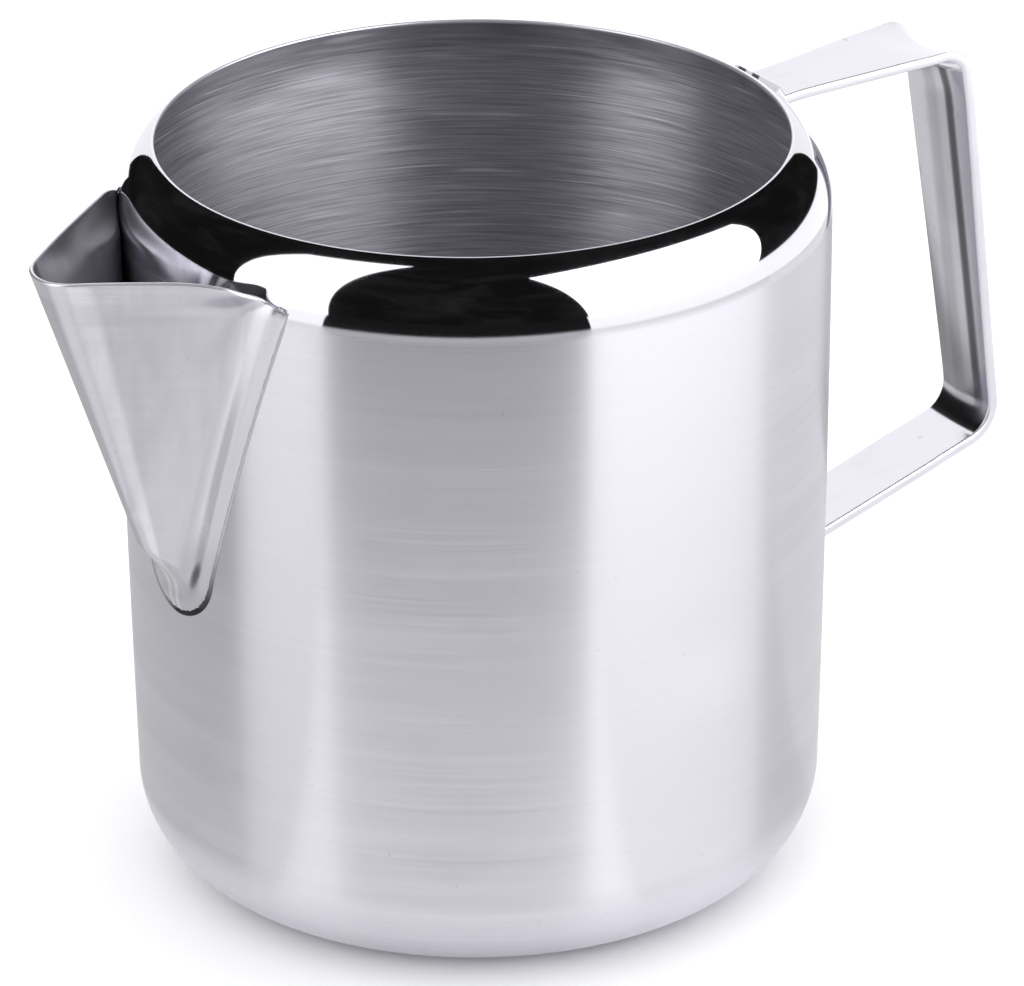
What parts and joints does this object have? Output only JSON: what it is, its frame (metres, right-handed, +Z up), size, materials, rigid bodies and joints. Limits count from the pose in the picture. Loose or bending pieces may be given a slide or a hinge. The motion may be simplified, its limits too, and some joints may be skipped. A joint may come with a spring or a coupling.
{
  "type": "milk frothing pitcher",
  "caption": "Steel milk frothing pitcher: straight jug with a rolled-in shoulder, V-shaped welded pouring spout and a bent strap handle.",
  "frame": {"origin": "the jug's axis where it meets the flat base", "axes": "+Z up along the jug's axis, +X towards the handle, -X towards the spout, XZ is the plane of symmetry"},
  "size_m": [0.1729, 0.11, 0.12],
  "materials": {
    "jug_steel": "satin polished outside, brushed inside",
    "spout_steel": "satin polished",
    "weld_metal": "dull, ground back",
    "strap_steel": "polished"
  },
  "bodies": {
    "root": {"jug_body": "jug_steel", "pouring_spout": "spout_steel", "spout_seam_weld": "weld_metal", "spout_corner_welds": "weld_metal", "handle_strap": "strap_steel", "handle_upper_welds": "weld_metal", "handle_lower_welds": "weld_metal"}
  },
  "joints": []
}
